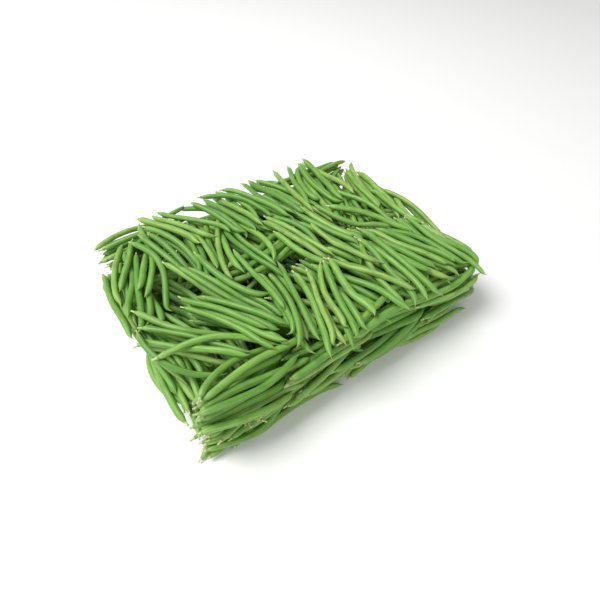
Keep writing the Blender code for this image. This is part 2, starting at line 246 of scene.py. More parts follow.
class Ground:
    """The height of what is laid so far, on a grid of cells."""

    def __init__(self):
        size = np.array([BUNDLE_LENGTH, BUNDLE_WIDTH]) + 2 * MARGIN
        self.corner = size / 2
        self.heights = np.zeros((size / CELL).astype(int))

    def cells(self, plan):
        """The cells that points lie in, given by their two numbers on the grid."""
        index = ((plan + self.corner) / CELL).astype(int)
        index = np.clip(index, 0, np.array(self.heights.shape) - 1)
        return index[..., 0], index[..., 1]

    def under(self, plan):
        """The height of the ground under points."""
        return self.heights[self.cells(plan)]

    def cover(self, pod):
        """Raises the ground to the top of a pod."""
        steps = np.linspace(0, POD_POINTS - 1, COVER_STEPS)
        every = np.arange(POD_POINTS)
        plan = np.column_stack([np.interp(steps, every, pod.plan[:, k]) for k in (0, 1)])
        height = np.interp(steps, every, pod.height)
        radius = pod.radius * pod_fullness((steps + 0.5) / POD_POINTS)
        side = sideways(plan)
        for k in COVER_STRIPS:
            top = height + radius * math.sqrt(1 - k * k)
            np.maximum.at(self.heights, self.cells(plan + side * (radius * k)[:, None]), top)


print("cells in the ground", Ground().heights.shape)

# %% [markdown]
# ## Keeping pods inside the outline
#
# The bundle has straight sides and round corners, so a pod near the edge must not stick out. It
# could be cut off or bent there, but a real pod is pushed in whole. So each centre line is moved
# bodily: first inside the two pairs of sides, and then inside the round of its worst corner.

# %% Push a pod inside the outline
TINY = 1e-9


def moved_inside(plans, height, slack):
    """Centre lines moved bodily so that each lies within the bundle's outline at its height."""
    half = np.array([HALF_LENGTH, HALF_WIDTH]) + slack - SIDE_SLOPE * height[:, None]
    every = np.arange(len(plans))
    for _ in range(2):
        over = np.maximum(plans.max(1) - half, 0) - np.maximum(-half - plans.min(1), 0)
        plans = plans - over[:, None]
        beyond = np.maximum(np.abs(plans) - (half - CORNER_RADIUS)[:, None], 0)
        reach = np.linalg.norm(beyond, axis=-1)
        worst = reach.argmax(1)
        excess = np.maximum(reach[every, worst] - CORNER_RADIUS, 0)
        inward = -np.sign(plans[every, worst]) * beyond[every, worst]
        inward /= np.maximum(reach[every, worst], TINY)[:, None]
        plans = plans + (inward * excess[:, None])[:, None]
    return plans


sample_moved = moved_inside(sample_line[None] + [HALF_LENGTH, 0.0], np.zeros(1), 0.0)[0]
print("a pod at the right end is pushed back to", sample_moved[:, 0].max().round(4))

# %% [markdown]
# ## Letting a pod come to rest
#
# A pod lies on whatever stands highest under it, and sags a little between and beyond those
# supports. Hanging a parabola from every support, and keeping the highest of them at each point,
# gives just that drape. It is then smoothed, because a pod has no kinks, and lifted as a whole
# if the smoothing let it sink too far into a support.

# %% Rest a pod on the ground
SAG = 4.0
PROBES = (-0.9, -0.5, 0.0, 0.5, 0.9)
SMOOTHING = (1, 2, 3, 2, 1)
STIFFNESS = 0.8


def lying_heights(ground, plans, distance, radius):
    """Heights of centre lines that come to rest on the ground, each held up like a taut bow."""
    side = sideways(plans)
    radii = radius * pod_fullness(POD_SHARES)
    need = np.broadcast_to(radii, plans.shape[:2])
    for k in PROBES:
        edge = ground.under(plans + side * (radii * k)[:, None])
        need = np.maximum(need, edge + radii * math.sqrt(1 - k * k))
    drop = SAG * (distance[:, None] - distance[None, :]) ** 2
    draped = (need[:, :, None] - drop).max(1)
    ends = len(SMOOTHING) // 2
    padded = np.pad(draped, ((0, 0), (ends, ends)), mode="edge")
    soft = sum(w * padded[:, k:k + POD_POINTS] for k, w in enumerate(SMOOTHING)) / sum(SMOOTHING)
    return soft + STIFFNESS * np.maximum(need - soft, 0).max(1, keepdims=True)


sample_heights = lying_heights(Ground(), sample_line[None], sample_line[:, 0], sample_radius)
print("a pod on the bare floor lies", sample_heights.mean().round(4), "high")

# %% [markdown]
# ## Laying a handful
#
# A handful is a few pods that lie nearly parallel, because a hand gathers them so. Each pod is
# tried in 96 places across the handful's width, and it is kept where it rests lowest. So pods
# nestle beside each other instead of stacking up, which is what shaking does to real ones. A pod
# that would stand too high wherever it is tried isn't laid at all.

# %% Lay one pod of a handful
TRIES = 96
TOO_HIGH = 0.009
ALONG_SPREAD = 0.008
EDGE_SLACK = (-0.004, 0.003)
LEVEL_COST = 0.10


def lay_pod(rng, ground, middle, heading, spread, fan, width, too_high=TOO_HIGH, over=0.0):
    """Lays one pod of a handful where it rests lowest, out of several places tried. It is given
    back in a list, which is empty if the pod would stand too high."""
    line, radius = draw_pod(rng)
    if rng.random() < 0.5:
        line = line * [1, -1]
    off = rng.uniform(-1, 1, TRIES)
    turn = heading + np.radians(rng.normal(0, spread, TRIES) + fan * off)
    along = rng.normal(0, ALONG_SPREAD, TRIES)
    forward = np.array([math.cos(heading), math.sin(heading)])
    left = np.array([-forward[1], forward[0]])
    places = middle + along[:, None] * forward + (off * width / 2)[:, None] * left
    plans = turned_lines(line, turn) + places[:, None]
    slack = rng.uniform(*EDGE_SLACK) + over
    plans = moved_inside(plans, ground.under(plans).mean(1), slack)
    heights = lying_heights(ground, plans, line[:, 0], radius)
    above = heights.mean(1) - wanted_height(*plans.mean(1).T)
    best = (above + LEVEL_COST * np.ptp(heights, axis=1)).argmin()
    if above[best] > too_high:
        return []
    pod = Pod(plans[best], heights[best], radius)
    ground.cover(pod)
    return [pod]


print("places tried for each pod", TRIES)

# %% [markdown]
# ## Filling up
#
# Most of the heap is filled by one rule: look for the patch where the ground is furthest below
# its goal, and lay a small handful there. Most patches lie along the short side, as most pods
# do, and some lie along the long side, so that the handfuls cross. At the long edges the
# handfuls are narrower and straighter, because the outline leaves them less room.

# %% The patches where a handful may be laid
USUAL_HEADING = 92
CROSS_HEADING = 2
PATCH_MARGIN = 0.016
PATCH_ALONG = np.linspace(-0.045, 0.045, 13)
PATCH_ACROSS = np.linspace(-0.015, 0.015, 7)
PATCH_COLUMNS = np.linspace(PATCH_MARGIN - HALF_LENGTH, HALF_LENGTH - PATCH_MARGIN, 15)
PATCH_ROWS = (-0.080, -0.045, -0.015, 0.015, 0.045, 0.080)
CROSS_COLUMNS = np.linspace(-0.128, 0.128, 11)
CROSS_ROWS = (-0.118, -0.045, 0.0, 0.045, 0.118)


def patches():
    """Where a handful may be laid: its middle, its usual heading, and points under it."""
    found = []
    for x in PATCH_COLUMNS:
        for y in PATCH_ROWS:
            points = np.stack(np.meshgrid(x + PATCH_ACROSS, y + PATCH_ALONG), -1)
            found.append((np.array([x, y]), USUAL_HEADING, points))
    for x in CROSS_COLUMNS:
        for y in CROSS_ROWS:
            points = np.stack(np.meshgrid(x + PATCH_ALONG, y + PATCH_ACROSS), -1)
            found.append((np.array([x, y]), CROSS_HEADING, points))
    return found


print("patches", len(patches()))

# %% Fill up wherever the ground is lowest
Handful = namedtuple("Handful", "heading_spread fan spread width")
FILL_HANDFUL = Handful(heading_spread=9, fan=4, spread=4, width=0.034)
RIM_HANDFUL = Handful(heading_spread=4, fan=3, spread=4, width=0.024)
RIM = 0.100
CHOICE_NOISE = 0.004
FILL_PODS = (4, 8)


def level_up(rng, ground, goal):
    """Lays small handfuls, each where the ground is furthest below its goal, until none is."""
    pods = []
    places = patches()
    while True:
        short = [(ground.under(u) - goal(u[..., 0], u[..., 1])).mean() for _, _, u in places]
        short = np.array(short)
        lowest = (short + rng.uniform(0, CHOICE_NOISE, len(places))).argmin()
        if short[lowest] > 0:
            return pods
        middle, usual, _ = places[lowest]
        kind = RIM_HANDFUL if abs(middle[1]) > RIM else FILL_HANDFUL
        heading = math.radians(rng.normal(usual, kind.heading_spread))
        fan = rng.normal(0, kind.fan)
        for _ in range(rng.integers(*FILL_PODS)):
            pods += lay_pod(rng, ground, middle, heading, kind.spread, fan, kind.width)


print("widths of the handfuls", FILL_HANDFUL.width, RIM_HANDFUL.width)

# %% [markdown]
# ## The handfuls on top
#
# The pods that were tipped out last are the ones that everyone sees, so their handfuls follow
# the photograph: two rows across the bundle, most of them lying along its short side, each
# turned its own way. Each group below is one handful: its middle in millimetres, its heading in
# degrees, and how many pods wide it is. The stalks of these pods lie towards the far side, so
# the heading that was read is turned round.

# %% The places of the top handfuls
TOP_HANDFULS = [
    (84, -42, 172, 6), (-158, -8, 104, 8), (-125, 5, 114, 8), (-90, -20, 80, 7),
    (-10, 8, 112, 8), (30, 12, 106, 7), (84, 8, 98, 6), (128, 0, 158, 7),
    (-163, 35, 80, 8), (-150, 72, 62, 9), (-118, 62, 98, 9), (12, 68, 96, 9),
    (66, 62, 94, 9), (42, 62, 104, 9), (128, 62, 148, 8), (160, 58, 78, 9),
    (-26, 60, 112, 10), (-82, 60, 80, 12), (98, 56, 68, 10),
    (-160, -62, 122, 10), (-140, -78, 150, 8), (-30, -92, 128, 8), (-98, -68, 110, 9),
    (125, -66, 108, 10), (0, -66, 118, 10), (32, -75, 100, 9), (150, -75, 98, 9),
    (62, -72, 110, 10), (92, -75, 114, 10), (-62, -68, 76, 11),
]
HALF_TURN = 180


def read_handful(x, y, heading, many):
    """A handful's middle in metres, its heading from the stalks on in radians, and its width."""
    return np.array([x, y]) / 1000, math.radians(heading + HALF_TURN), many


print("top handfuls", len(TOP_HANDFULS), "the first at", read_handful(*TOP_HANDFULS[0])[0])

# %% [markdown]
# ## The whole bundle
#
# The bundle is laid in the order in which it was tipped out: first the fill, then the handfuls
# on top, then whatever is still low between them. At the very end come the strays, single pods
# that fell across the others and lie their own way.

# %% Lay the whole bundle
HANDFUL_SPREAD = 5.0
HANDFUL_PITCH = 0.0048
HANDFUL_FAN = 6
LAST_DIP = 0.022
STRAYS = 22
STRAY_REACH = (0.150, 0.090)
STRAY_HEADING = 270
STRAY_TURN = 26
STRAY_SPREAD = 12
STRAY_WIDTH = 0.03


def lay_bundle():
    """All the pods of the bundle in the order in which they are laid, and how many come before
    the strays."""
    rng = np.random.default_rng(SEED)
    ground = Ground()
    pods = level_up(rng, ground, fill_height)
    for handful in TOP_HANDFULS:
        middle, turn, many = read_handful(*handful)
        fan = rng.normal(0, HANDFUL_FAN)
        for _ in range(many + 1):
            pods += lay_pod(rng, ground, middle, turn, HANDFUL_SPREAD, fan, HANDFUL_PITCH * many)
    pods += level_up(rng, ground, lambda x, y: wanted_height(x, y) - LAST_DIP)
    before_strays = len(pods)
    for _ in range(STRAYS):
        middle = rng.uniform(-1, 1, 2) * STRAY_REACH
        turn = math.radians(rng.normal(STRAY_HEADING, STRAY_TURN))
        pods += lay_pod(rng, ground, middle, turn, STRAY_SPREAD, 0, STRAY_WIDTH)
    return pods, before_strays


pods, before_strays = lay_bundle()
low = np.min([pod.plan.min(0) - pod.radius for pod in pods], axis=0)
high = np.max([pod.plan.max(0) + pod.radius for pod in pods], axis=0)
middle_of_bundle = (low + high) / 2
print("pods laid", len(pods), "middle", middle_of_bundle.round(4))

# %% [markdown]
# ## The last pods
#
# The solids stop here, but a real bundle has more on its surface. At its long edges the ends of
# many pods point outwards over the ones that lie along the side, and more handfuls fill the
# hollows between the others. They are laid by the same rule, with random numbers of their own,
# so that the pods below them stay as they were.

# %% The places of the last handfuls
LAST_HANDFULS = [
    (-160, -55, 107, 5), (-150, -31, 136, 5), (-142, -4, 121, 6), (-124, 13, 106, 8),
    (-105, -82, 114, 5), (-99, -45, 117, 5), (-92, -20, 111, 7), (-102, 45, 105, 7),
    (-141, 74, 65, 5), (-76, -61, 92, 6), (-86, 60, 81, 7), (-66, 32, 77, 7),
    (-53, -57, 73, 6), (-30, 20, 100, 6), (10, 4, 104, 6), (48, 0, 110, 6), (92, 2, 112, 6),
    (132, 0, 108, 6), (-122, 94, 82, 6), (-90, 98, 92, 6), (-56, 98, 100, 6), (-22, 98, 96, 6),
    (14, 98, 104, 6), (48, 98, 98, 6),
]
LAST_TOO_HIGH = 0.007
LAST_OVER = 0.008
COVER_DIP = 0.010
print("last handfuls", len(LAST_HANDFULS), "may reach past the outline by", LAST_OVER)

# %% Pods at the long edges
EDGE_COLUMNS = np.linspace(-0.150, 0.150, 14)
EDGE_ROWS = (-0.096, 0.096)
EDGE_PODS = 4
EDGE_HEADING = 276
EDGE_TURN = 14
EDGE_SPREAD = 7
EDGE_WIDTH = 0.026
EDGE_TOO_HIGH = 0.012


def lay_edge_pods(rng, ground):
    """Pods along the two long edges, with their ends pointing out over them."""
    more = []
    for x in rng.permutation(EDGE_COLUMNS):
        for y in EDGE_ROWS:
            turn = math.radians(rng.normal(EDGE_HEADING, EDGE_TURN))
            place = np.array([x, y])
            for _ in range(EDGE_PODS):
                more += lay_pod(rng, ground, place, turn, EDGE_SPREAD, 0, EDGE_WIDTH,
                                EDGE_TOO_HIGH, LAST_OVER)
    return more


print("places at the edges", len(EDGE_COLUMNS) * len(EDGE_ROWS))

# %% Pods in the hollows
HOLLOW_COLUMNS = np.linspace(-0.150, 0.150, 26)
HOLLOW_ROWS = np.linspace(-0.085, 0.085, 7)
HOLLOW_ROUNDS = 2
HOLLOW_HEADING = 275
HOLLOW_TURN = 16
HOLLOW_SPREAD = 8
HOLLOW_WIDTH = 0.020
HOLLOW_TOO_HIGH = 0.002


def lay_hollow_pods(rng, ground):
    """Single pods wherever one still lies low enough to be in a hollow."""
    more = []
    places = [(x, y) for x in HOLLOW_COLUMNS for y in HOLLOW_ROWS] * HOLLOW_ROUNDS
    for place in rng.permutation(places):
        turn = math.radians(rng.normal(HOLLOW_HEADING, HOLLOW_TURN))
        more += lay_pod(rng, ground, place, turn, HOLLOW_SPREAD, 0, HOLLOW_WIDTH,
                        HOLLOW_TOO_HIGH)
    return more


print("places tried for hollows", len(HOLLOW_COLUMNS) * len(HOLLOW_ROWS) * HOLLOW_ROUNDS)

# %% Lay the last pods
def lay_last_pods(ground):
    """More pods on top: handfuls, then pods at the long edges, then pods in the hollows."""
    rng = np.random.default_rng(SEED + 2)
    more = []
    for handful in LAST_HANDFULS:
        place, turn, many = read_handful(*handful)
        for _ in range(many):
            more += lay_pod(rng, ground, place, turn, HANDFUL_SPREAD, 0, HANDFUL_PITCH * many,
                            LAST_TOO_HIGH, LAST_OVER)
    more += level_up(rng, ground, lambda x, y: wanted_height(x, y) - COVER_DIP)
    more += lay_edge_pods(rng, ground)
    more += lay_hollow_pods(rng, ground)
    return more


ground = Ground()
for pod in pods[:before_strays]:
    ground.cover(pod)
last_pods = lay_last_pods(ground)
print("last pods", len(last_pods))

# %% [markdown]
# ## The strays again
#
# The strays lay on a surface that now has more pods on it. They could be lifted straight up onto
# those, but then they would hang in the air at one end. So each is laid again by the rule, near
# its old place and about its old way round. Where even the lowest place would leave it standing
# too high, it isn't laid.

# %% Lay the strays again
STRAY_TOO_HIGH = 0.010
STRAY_SPREAD_AGAIN = 8


def lay_strays_again(ground, strays):
    """The strays, each laid near its old place and about its old way round."""
    rng = np.random.default_rng(SEED + 3)
    again = []
    for pod in strays:
        x, y = pod.plan[-1] - pod.plan[0]
        turn = math.atan2(y, x)
        again += lay_pod(rng, ground, pod.plan.mean(0), turn, STRAY_SPREAD_AGAIN, 0,
                         STRAY_WIDTH, STRAY_TOO_HIGH)
    return again


strays = lay_strays_again(ground, pods[before_strays:])
pods = pods[:before_strays] + last_pods + strays
print("strays laid again", len(strays), "pods in all", len(pods))

# %% [markdown]
# ## The pods deep down
#
# A pod is too long to drop into a narrow shaft between the others, so the rule leaves a few
# shafts that reach down to the floor. In a real bundle more pods are wedged in there, and from
# above one sees green all the way down. So wherever the low pods leave a deep spot, a pod is sunk
# into it level with what lies under its middle, in the direction in which it has to sink least.
# Its ends are hidden among the pods around the shaft.

# %% Sink one pod
DEEP_TRIES = 24
DEEP_SLACK = -0.004
DEEP_DRAPE = 0.3


def sunk_pod(rng, ground, place, depth):
    """A pod sunk to a depth at a place, turned the way in which it has to sink least."""
    line, radius = draw_pod(rng)
    plans = turned_lines(line, rng.uniform(0, math.pi, DEEP_TRIES)) + place
    plans = moved_inside(plans, np.full(DEEP_TRIES, depth), DEEP_SLACK)
    heights = lying_heights(ground, plans, line[:, 0], radius)
    best = heights.mean(1).argmin()
    level = depth + radius
    height = np.minimum(heights[best], level + DEEP_DRAPE * (heights[best] - level))
    return Pod(plans[best], height, radius)


print("directions tried for a deep pod", DEEP_TRIES)

# %% Sink pods into the deep shafts
DEEP_LEVEL = 0.046
DEEP_GOAL = 0.034
DEEP_LIMIT = 90
DEEP_STEP = 0.010
DEEP_COLUMNS = np.arange(-0.145, 0.146, DEEP_STEP)
DEEP_ROWS = np.arange(-0.100, 0.101, DEEP_STEP)
DEEP_WINDOW = np.linspace(-0.009, 0.009, 5)


def lay_deep_pods(pods):
    """Pods that lie deep down, in the shafts that the others leave."""
    rng = np.random.default_rng(SEED + 4)
    ground = Ground()
    for pod in pods:
        if pod.height.mean() < DEEP_LEVEL:
            ground.cover(pod)
    places = np.array([(x, y) for x in DEEP_COLUMNS for y in DEEP_ROWS])
    window = np.stack(np.meshgrid(DEEP_WINDOW, DEEP_WINDOW), -1).reshape(-1, 2)
    deep = []
    while len(deep) < DEEP_LIMIT:
        depth = ground.under(places[:, None] + window).mean(1)
        lowest = depth.argmin()
        if depth[lowest] > DEEP_GOAL:
            break
        deep.append(sunk_pod(rng, ground, places[lowest], depth[lowest]))
        ground.cover(deep[-1])
    return deep


deep_pods = lay_deep_pods(pods)
pods += deep_pods
print("deep pods", len(deep_pods), "in all", len(pods))

# %% [markdown]
# ## Settling
#
# The last pods make the bundle a few millimetres higher than it was measured. Real pods settle
# under the weight of the ones above them. So each is let down a little, the more the higher it
# lies, until the top is level with the top of the solids. The lowest ones stay on the floor.

# %% Let the bundle settle to its measured height
laid_top = max(pod.height.max() + pod.radius for pod in pods)
settled_share = cad_box[1][2] / laid_top


def settled_height(pod):
    """The heights of a pod's centre line once the bundle has settled."""
    return pod.radius + (pod.height - pod.radius) * settled_share


print("laid", round(float(laid_top), 4), "high, settles to a share of", round(settled_share, 3))

# %% [markdown]
# ## The shape of a pod
#
# Seen close up, a pod starts with the thin stump of its stalk. A small collar follows, where the
# flower sat, then a short neck and a shoulder that swells to the full thickness. The body bulges
# very slightly over each seed. The tail narrows to a fine curved beak. All of that is one
# profile, a thickness at each share of the length, swept along the centre line. A swept profile
# keeps every pod one clean closed skin, which a curve with a bevel object can't vary so finely.

# %% The profile along a pod
STALK_SHARES = np.array([0.0, 0.012, 0.027, 0.036])
COLLAR_SHARES = np.array([0.041, 0.048, 0.056, 0.066, 0.082, 0.102, 0.126, 0.152])
BODY_SHARES = np.linspace(0.185, 0.80, 18)
TAIL_SHARES = np.array([0.84, 0.875, 0.902, 0.925, 0.944, 0.959, 0.971, 0.981, 0.990, 1.0])
SHARES = np.concatenate([STALK_SHARES, COLLAR_SHARES, BODY_SHARES, TAIL_SHARES])
PROFILE = np.array([
    (0, 0.32), (0.012, 0.27), (0.034, 0.29), (0.041, 0.52), (0.048, 0.55), (0.056, 0.56),
    (0.066, 0.68), (0.082, 0.85), (0.102, 0.95), (0.13, 1.0), (0.86, 1.0), (0.90, 0.94),
    (0.925, 0.84), (0.945, 0.68), (0.962, 0.46), (0.975, 0.26), (0.985, 0.14), (1.0, 0.06),
])
ring_profile = np.interp(SHARES, *PROFILE.T)
print("rings of a pod", len(SHARES), "from", ring_profile.min(), "to", ring_profile.max())

# %% The bulges of the seeds
SEEDS = (7, 10)
SEED_ROOM = 0.75
SEEDS_FROM = 0.14
SEEDS_TO = 0.86
SEEDS_FADE = 0.08
SEED_BULGE = 0.022
BODY_FROM = 0.15
BODY_SPAN = 0.7
BODY_SWELL = 0.03
BODY_SHIFT = 0.5


def ring_radii(rng, radius):
    """The radius at each ring of one pod, with the low bulges of its seeds."""
    seeds = rng.integers(*SEEDS)
    bulge = np.cos(2 * math.pi * (SHARES * seeds / SEED_ROOM + rng.random()))
    begins = np.clip((SHARES - SEEDS_FROM) / SEEDS_FADE, 0, 1)
    inside = begins * np.clip((SEEDS_TO - SHARES) / SEEDS_FADE, 0, 1)
    body = math.pi * np.clip((SHARES - BODY_FROM) / BODY_SPAN, 0, 1)
    swell = 1 + BODY_SWELL * np.sin(body + rng.normal(0, BODY_SHIFT))
    return radius * ring_profile * swell * (1 + SEED_BULGE * bulge * inside)


sample_radii = ring_radii(np.random.default_rng(SEED), sample_radius)
print("thickest ring of a pod", (2 * sample_radii.max()).round(5))

# %% [markdown]
# ## A smooth line through the points
#
# The centre line has 22 points, and the skin needs 40 rings, closer together at both ends. A
# cubic through the points gives places between them without corners. The stalks of some pods
# broke off short, and every beak curls its own way, so both are drawn here for each pod.

# %% A smooth centre line
STALK_RINGS = len(STALK_SHARES)
SHORT_STALKS = 0.4
STALK_LOSS = 0.9
BEAK_FROM = 0.93
BEAK_SPAN = 0.07
CURL = 0.0022
CURL_WEIGHTS = (1, 1, 0.5)


def cubic_points(line, shares):
    """Points on a smooth curve through a line of points that are spaced evenly from end to end."""
    ends = [2 * line[:1] - line[1:2], line, 2 * line[-1:] - line[-2:-1]]
    whole = np.concatenate(ends)
    slope = np.gradient(whole, axis=0)
    at = np.clip(shares * POD_POINTS + 0.5, 0, POD_POINTS + 0.999)
    first = at.astype(int)
    t = (at - first)[:, None]
    a, b = whole[first], whole[first + 1]
    da, db = slope[first], slope[first + 1]
    return ((2 * t**3 - 3 * t**2 + 1) * a + (t**3 - 2 * t**2 + t) * da
            + (3 * t**2 - 2 * t**3) * b + (t**3 - t**2) * db)


def smooth_line(rng, pod):
    """A pod's centre line at each of its rings, with a whole or a short stalk and a curled beak."""
    line = np.column_stack([pod.plan - middle_of_bundle, settled_height(pod)])
    centre = cubic_points(line, SHARES)
    lost = rng.uniform(0.0, STALK_LOSS) if rng.random() < SHORT_STALKS else 0.0
    centre[:STALK_RINGS] += (centre[STALK_RINGS] - centre[:STALK_RINGS]) * lost
    beak = np.clip((SHARES - BEAK_FROM) / BEAK_SPAN, 0, 1)[:, None] ** 2
    curl = rng.normal(0, CURL, 3) * CURL_WEIGHTS
    return centre + beak * curl


sample_centre = smooth_line(np.random.default_rng(SEED), pods[0])
print("the first pod's stalk is at", sample_centre[0].round(3))
print("and its tip at", sample_centre[-1].round(3))

# %% [markdown]
# ## Sweeping the section
#
# Cut across, a pod is a slightly flattened circle with a shallow groove down each of two seams,
# where the two halves of the pod meet. At each ring that section is set square to the centre
# line, and it twists a little along the way. The lowest pods are pressed flat where they lie on
# the floor, so no point is let below it.

# %% Sweep the section along the centre line
SIDES = 12
ANGLES = np.arange(SIDES) * 2 * math.pi / SIDES
FLATNESS = (0.02, 0.07)
SEAM_DEPTH = 0.045
SEAM_WIDTH = 0.30
TWIST = 0.3

Skin = namedtuple("Skin", "points tone ripeness")


def side_and_up(centre):
    """Two unit vectors square to a curve at each of its points: one level, and one upwards."""
    along = np.gradient(centre, axis=0)
    along /= np.linalg.norm(along, axis=1, keepdims=True)
    side = np.column_stack([-along[:, 1], along[:, 0], np.zeros(len(along))])
    side /= np.linalg.norm(side, axis=1, keepdims=True)
    return side, np.cross(along, side)


def pod_skin(rng, pod):
    """Rings of points of one pod, and two random numbers that its colour depends on."""
    centre = smooth_line(rng, pod)
    radius = ring_radii(rng, pod.radius)
    side, up = side_and_up(centre)
    roll = rng.uniform(0, math.pi) + rng.normal(0, TWIST) * SHARES
    flat = rng.uniform(*FLATNESS)
    seams = SEAM_DEPTH * np.exp(-(np.sin(ANGLES) / SEAM_WIDTH) ** 2)
    reach = radius[:, None] * (1 + flat * np.cos(2 * ANGLES) - seams)
    turn = ANGLES[None] + roll[:, None]
    points = (centre[:, None] + (reach * np.cos(turn))[..., None] * side[:, None]
              + (reach * np.sin(turn))[..., None] * up[:, None])
    points[..., 2] = np.maximum(points[..., 2], 0.0)
    return Skin(points, rng.random(), rng.random())


print("points of a pod", len(SHARES) * SIDES)

# %% [markdown]
# ## From skins to meshes
#
# One object for each pod would be slow to handle, and a single object for all of them would be
# heavy. The pods are gathered into six groups by where they lie, two low ones and four high
# ones, each one mesh. What the colours will need is stored on the points: how far along its pod a
# point is, where around it, and two random numbers for the pod.

# %% The faces of a pod
def pod_faces():
    """The faces of one pod: four-sided ones between its rings, and one that closes each end."""
    corner = np.arange(SIDES)
    following = (corner + 1) % SIDES
    last_ring = (len(SHARES) - 1) * SIDES
    faces = []
    for start in range(0, last_ring, SIDES):
        above = start + SIDES
        quads = [start + corner, above + corner, above + following, start + following]
        faces += np.column_stack(quads).tolist()
    faces.append(corner.tolist())
    faces.append((last_ring + corner[::-1]).tolist())
    return faces


print("faces of a pod", len(pod_faces()))

# %% Gather pods into a mesh
def bean_object(name, skins):
    """One object that holds several pods, each a closed skin."""
    per_pod = len(SHARES) * SIDES
    shape = pod_faces()
    starts = range(0, len(skins) * per_pod, per_pod)
    faces = [[start + corner for corner in face] for start in starts for face in shape]
    points = np.concatenate([skin.points.reshape(-1, 3) for skin in skins])
    mesh = bpy.data.meshes.new(name)
    mesh.from_pydata(points.tolist(), [], faces)
    values = {
        "along": np.tile(np.repeat(SHARES, SIDES), len(skins)),
        "round_x": np.tile(np.cos(ANGLES), len(SHARES) * len(skins)),
        "round_y": np.tile(np.sin(ANGLES), len(SHARES) * len(skins)),
        "tone": np.repeat([skin.tone for skin in skins], per_pod),
        "ripeness": np.repeat([skin.ripeness for skin in skins], per_pod),
    }
    for key, numbers in values.items():
        stored = mesh.attributes.new(key, "FLOAT", "POINT")
        stored.data.foreach_set("value", numbers.astype(np.float32))
    mesh.shade_smooth()
    mesh.update()
    made = bpy.data.objects.new(name, mesh)
    bpy.context.scene.collection.objects.link(made)
    return made


print("stored on each point: along, round_x, round_y, tone and ripeness")

# %% Make the six groups
SPLIT_HEIGHT = 0.030
looks = np.random.default_rng(SEED + 1)
groups = {}
for pod in pods:
    x, y = pod.plan.mean(0)
    if pod.height.mean() < SPLIT_HEIGHT:
        name = "lower_beans_left" if x < 0 else "lower_beans_right"
    else:
        name = "upper_beans_" + ("near_" if y < 0 else "far_") + ("left" if x < 0 else "right")
    groups.setdefault(name, []).append(pod_skin(looks, pod))

pieces = {}
for name, skins in sorted(groups.items()):
    pieces[name] = bean_object(name, skins)
    print(name, "pods", len(skins), "faces", len(pieces[name].data.polygons))

# %% [markdown]
# ## Building a material from nodes
#
# A material is a tree of nodes that ends in one shader. It can be drawn by hand in the shader
# editor, but written as a script it can be read and repeated. A small class keeps that short:
# each of its functions adds one node, joins what goes into it, and gives back what comes out.

# %% Helpers for building a material from nodes
SCREEN_GAMMA = 2.2


def linear(red, green, blue):
    """A colour given as it looks on screen, as the linear values that a shader takes."""
    return tuple((c / 255) ** SCREEN_GAMMA for c in (red, green, blue)) + (1.0,)


class Nodes:
    """A short way to add nodes to a material and join them."""

    def __init__(self, name):
        self.material = bpy.data.materials.new(name)
        self.material.use_nodes = True
        self.tree = self.material.node_tree
        self.shader = self.tree.nodes["Principled BSDF"]

    def join(self, value, socket):
        if isinstance(value, bpy.types.NodeSocket):
            self.tree.links.new(value, socket)
        else:
            socket.default_value = value

    def stored(self, key):
        node = self.tree.nodes.new("ShaderNodeAttribute")
        node.attribute_name = key
        return node.outputs["Fac"]

    def math(self, operation, a, b=0.0, c=0.0):
        node = self.tree.nodes.new("ShaderNodeMath")
        node.operation = operation
        for value, socket in zip((a, b, c), node.inputs):
            self.join(value, socket)
        return node.outputs[0]

    def vector(self, x, y, z):
        node = self.tree.nodes.new("ShaderNodeCombineXYZ")
        for value, socket in zip((x, y, z), node.inputs):
            self.join(value, socket)
        return node.outputs[0]

    def noise(self, place, scale, detail=2.0):
        node = self.tree.nodes.new("ShaderNodeTexNoise")
        self.join(place, node.inputs["Vector"])
        node.inputs["Scale"].default_value = scale
        node.inputs["Detail"].default_value = detail
        return node.outputs["Fac"]

    def between(self, value, low, high, to_low=0.0, to_high=1.0):
        """A value that goes smoothly from to_low to to_high as another goes from low to high."""
        node = self.tree.nodes.new("ShaderNodeMapRange")
        node.interpolation_type = "SMOOTHSTEP"
        for number, socket in zip((value, low, high, to_low, to_high), node.inputs):
            self.join(number, socket)
        return node.outputs["Result"]

    def mix(self, share, a, b):
        """Colour a with a share of colour b in it."""
        node = self.tree.nodes.new("ShaderNodeMix")
        node.data_type = "RGBA"
        self.join(share, node.inputs[0])
        self.join(a, node.inputs[6])
        self.join(b, node.inputs[7])
        return node.outputs[2]


print("mid grey as a shader takes it", round(linear(128, 128, 128)[0], 3))

# %% [markdown]
# ## The skin of a fresh pod
#
# Green beans have a satin skin: it is smooth, but a fine down keeps it from shining like
# plastic. The green differs from pod to pod, from a fresh mid green to a lighter yellowish one.
# Darker patches and fine lighter streaks run along it, and the seams show as thin lighter lines.
# An image would have to be painted for every pod. Mixing two colours at a time, steered by what
# was stored on the points, gives every pod its own look from one material.

# %% The colours of a pod
MID_GREEN = linear(85, 137, 50)
LIGHT_GREEN = linear(123, 170, 76)
RIPE_GREEN = linear(152, 182, 94)
PATCH_GREEN = linear(66, 118, 32)
STREAK_GREEN = linear(160, 196, 104)
SEAM_GREEN = linear(158, 192, 104)
NECK_GREEN = linear(166, 196, 112)
BEAK_STRAW = linear(150, 156, 88)
STALK_STRAW = linear(204, 206, 160)
COLLAR_GREEN = linear(84, 112, 40)
MARK_BROWN = linear(112, 98, 50)
print("mid green", [round(c, 3) for c in MID_GREEN])

# %% The green of the body
POD_SHIFT = 37.0
ALONG_SCALE = 7.0
STREAK_SQUEEZE = 9.0

Spot = namedtuple("Spot", "along tone ripeness round_x round_y far")


